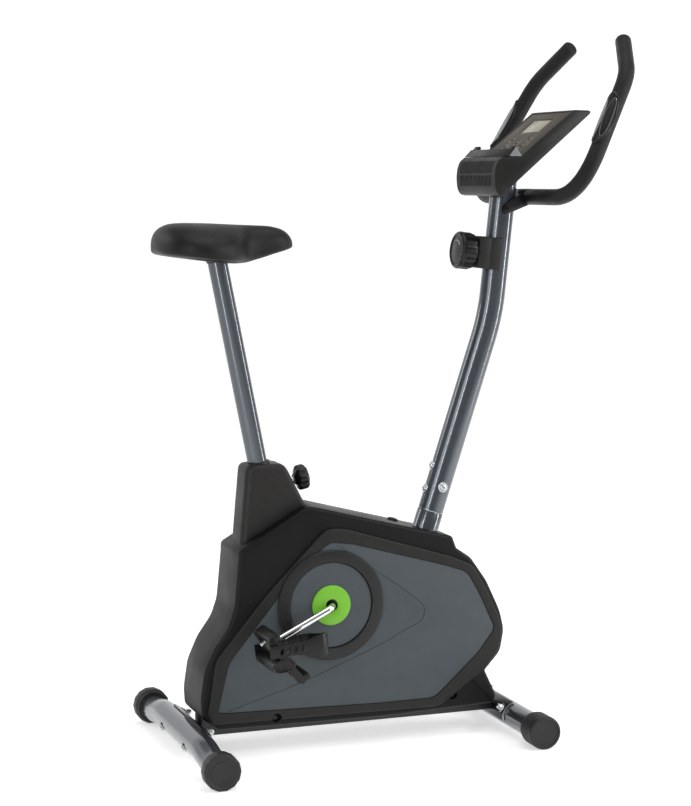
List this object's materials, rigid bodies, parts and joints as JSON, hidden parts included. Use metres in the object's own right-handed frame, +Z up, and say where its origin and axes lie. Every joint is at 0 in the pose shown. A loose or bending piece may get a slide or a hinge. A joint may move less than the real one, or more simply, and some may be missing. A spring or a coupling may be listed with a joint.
{
  "type": "exercise bike",
  "caption": "Upright magnetic exercise bike with a boxed drive casing, adjustable saddle, tension knob, console and loop handlebar.",
  "frame": {"origin": "on the floor, under the middle of the bike's length, on its middle plane", "axes": "+X forwards, from the saddle to the console; +Y to the rider's left; +Z up"},
  "size_m": [0.9317, 0.532, 1.3859],
  "materials": {
    "frame_paint": "glossy metallic dark grey paint",
    "black_paint": "satin black paint",
    "chrome": "polished",
    "zinc": "bright zinc plate",
    "steel": "machined",
    "casing_plastic": "fine moulded grain",
    "panel_plastic": "fine moulded grain, slate grey",
    "green_plastic": "smooth green",
    "foam": "closed-cell foam",
    "saddle_vinyl": "grained vinyl",
    "foot_rubber": "matt",
    "black_plastic": "satin",
    "console_face": "satin dark brown film",
    "screen": "clear window over a grey display",
    "button_rubber": "soft light grey"
  },
  "bodies": {
    "frame": {"rear_stabilizer": "frame_paint", "front_stabilizer": "frame_paint", "rear_bolt_left": "zinc", "rear_bolt_right": "zinc", "front_bolt_left": "zinc", "front_bolt_right": "zinc", "frame_rail": "black_paint", "seat_sleeve": "black_paint", "crank_upright": "black_paint", "front_stub": "frame_paint", "flywheel_bracket": "steel", "drive_belt": "foot_rubber", "casing_left": "casing_plastic", "casing_right": "casing_plastic", "side_panel_left": "panel_plastic", "side_panel_right": "panel_plastic", "disc_cover_left": "panel_plastic", "disc_cover_right": "panel_plastic", "crank_cap_left": "green_plastic", "crank_cap_right": "green_plastic", "seat_post_cover": "casing_plastic", "mast": "frame_paint", "mast_bolt_upper": "zinc", "mast_bolt_lower": "zinc", "mast_bolt_right": "zinc", "tension_housing": "black_plastic", "console_shell": "black_plastic", "console_panel": "console_face", "console_screen": "screen", "console_ledge": "black_plastic", "handlebar_clamp": "black_paint", "clamp_bolt": "black_plastic"},
    "crank_set": {"crank": "chrome", "drive_pulley": "black_plastic"},
    "flywheel_wheel": {"flywheel": "steel"},
    "brake_arm": {"magnet_arm": "zinc"},
    "tension_dial": {"tension_knob": "black_plastic"},
    "seat": {"seat_post": "frame_paint", "seat_pan": "black_plastic", "seat_pad": "saddle_vinyl"},
    "pop_pin": {"seat_pin": "zinc"},
    "pin_knob": {"seat_knob": "black_plastic"},
    "bar": {"handlebar": "black_paint", "grip_left": "foam", "grip_right": "foam", "pulse_sensor_left": "steel", "pulse_sensor_right": "steel"},
    "pedal_left_set": {"pedal_left": "black_plastic", "strap_left": "foot_rubber"},
    "pedal_right_set": {"pedal_right": "black_plastic", "strap_right": "foot_rubber"},
    "rear_foot_left_cap": {"rear_foot_left": "foot_rubber"},
    "rear_foot_right_cap": {"rear_foot_right": "foot_rubber"},
    "front_roller_left_wheel": {"front_roller_left": "foot_rubber"},
    "front_roller_right_wheel": {"front_roller_right": "foot_rubber"},
    "button_centre": {"console_button_centre": "button_rubber"},
    "button_lower_left": {"console_button_lower_left": "button_rubber"},
    "button_lower_right": {"console_button_lower_right": "button_rubber"},
    "button_upper_left": {"console_button_upper_left": "button_rubber"},
    "button_upper_right": {"console_button_upper_right": "button_rubber"}
  },
  "joints": [
    {"name": "crank_spin", "type": "hinge", "parent": "frame", "child": "crank_set", "pos_m": [-0.14, 0, 0.288], "axis": [0, 1, 0], "continuous": true},
    {"name": "flywheel_spin", "type": "hinge", "parent": "frame", "child": "flywheel_wheel", "pos_m": [0.131, 0.047, 0.215], "axis": [0, 1, 0], "continuous": true},
    {"name": "pedal_right_spin", "type": "hinge", "parent": "crank_set", "child": "pedal_right_set", "pos_m": [-0.28617, -0.17, 0.22292], "axis": [0, 1, 0], "continuous": true},
    {"name": "pedal_left_spin", "type": "hinge", "parent": "crank_set", "child": "pedal_left_set", "pos_m": [0.00617, 0.17, 0.35308], "axis": [0, 1, 0], "continuous": true},
    {"name": "tension_turn", "type": "hinge", "parent": "frame", "child": "tension_dial", "pos_m": [0.23608, 0, 0.956], "axis": [-0.9943, 0, 0.1063], "range_deg": [0, 300]},
    {"name": "brake_arm_swing", "type": "hinge", "parent": "frame", "child": "brake_arm", "pos_m": [0.056, 0.047, 0.316], "axis": [0, 1, 0], "range_deg": [-4.5, 0]},
    {"name": "seat_height", "type": "slide", "parent": "frame", "child": "seat", "axis": [-0.1959, 0, 0.9806], "range_m": [-0.2, 0.04]},
    {"name": "pin_pull", "type": "slide", "parent": "frame", "child": "pop_pin", "axis": [0.9806, 0, 0.1959], "range_m": [0, 0.012], "stiffness_N_per_m": 600},
    {"name": "pin_knob_turn", "type": "hinge", "parent": "pop_pin", "child": "pin_knob", "pos_m": [-0.25386, 0, 0.512], "axis": [0.9806, 0, 0.1959], "range_deg": [-180, 180]},
    {"name": "handlebar_tilt", "type": "hinge", "parent": "frame", "child": "bar", "pos_m": [0.291, 0, 1.069], "axis": [0, 1, 0], "range_deg": [-12, 12]},
    {"name": "rear_foot_left_turn", "type": "hinge", "parent": "frame", "child": "rear_foot_left_cap", "pos_m": [-0.414, 0.249, 0.0355], "axis": [0, 1, 0], "range_deg": [-30, 30]},
    {"name": "rear_foot_right_turn", "type": "hinge", "parent": "frame", "child": "rear_foot_right_cap", "pos_m": [-0.414, -0.249, 0.0355], "axis": [0, 1, 0], "range_deg": [-30, 30]},
    {"name": "front_roller_left_spin", "type": "hinge", "parent": "frame", "child": "front_roller_left_wheel", "pos_m": [0.254, 0.185, 0.033], "axis": [0, 1, 0], "continuous": true},
    {"name": "front_roller_right_spin", "type": "hinge", "parent": "frame", "child": "front_roller_right_wheel", "pos_m": [0.254, -0.185, 0.033], "axis": [0, 1, 0], "continuous": true},
    {"name": "button_centre_press", "type": "slide", "parent": "frame", "child": "button_centre", "axis": [0.6252, 0, -0.7804], "range_m": [0, 0.001], "stiffness_N_per_m": 300},
    {"name": "button_lower_left_press", "type": "slide", "parent": "frame", "child": "button_lower_left", "axis": [0.6252, 0, -0.7804], "range_m": [0, 0.001], "stiffness_N_per_m": 300},
    {"name": "button_lower_right_press", "type": "slide", "parent": "frame", "child": "button_lower_right", "axis": [0.6252, 0, -0.7804], "range_m": [0, 0.001], "stiffness_N_per_m": 300},
    {"name": "button_upper_left_press", "type": "slide", "parent": "frame", "child": "button_upper_left", "axis": [0.6252, 0, -0.7804], "range_m": [0, 0.001], "stiffness_N_per_m": 300},
    {"name": "button_upper_right_press", "type": "slide", "parent": "frame", "child": "button_upper_right", "axis": [0.6252, 0, -0.7804], "range_m": [0, 0.001], "stiffness_N_per_m": 300}
  ],
  "couplings": [
    {"joint": "flywheel_spin", "follows": "crank_spin", "ratio": 5.4},
    {"joint": "brake_arm_swing", "follows": "tension_turn", "ratio": -0.015}
  ]
}
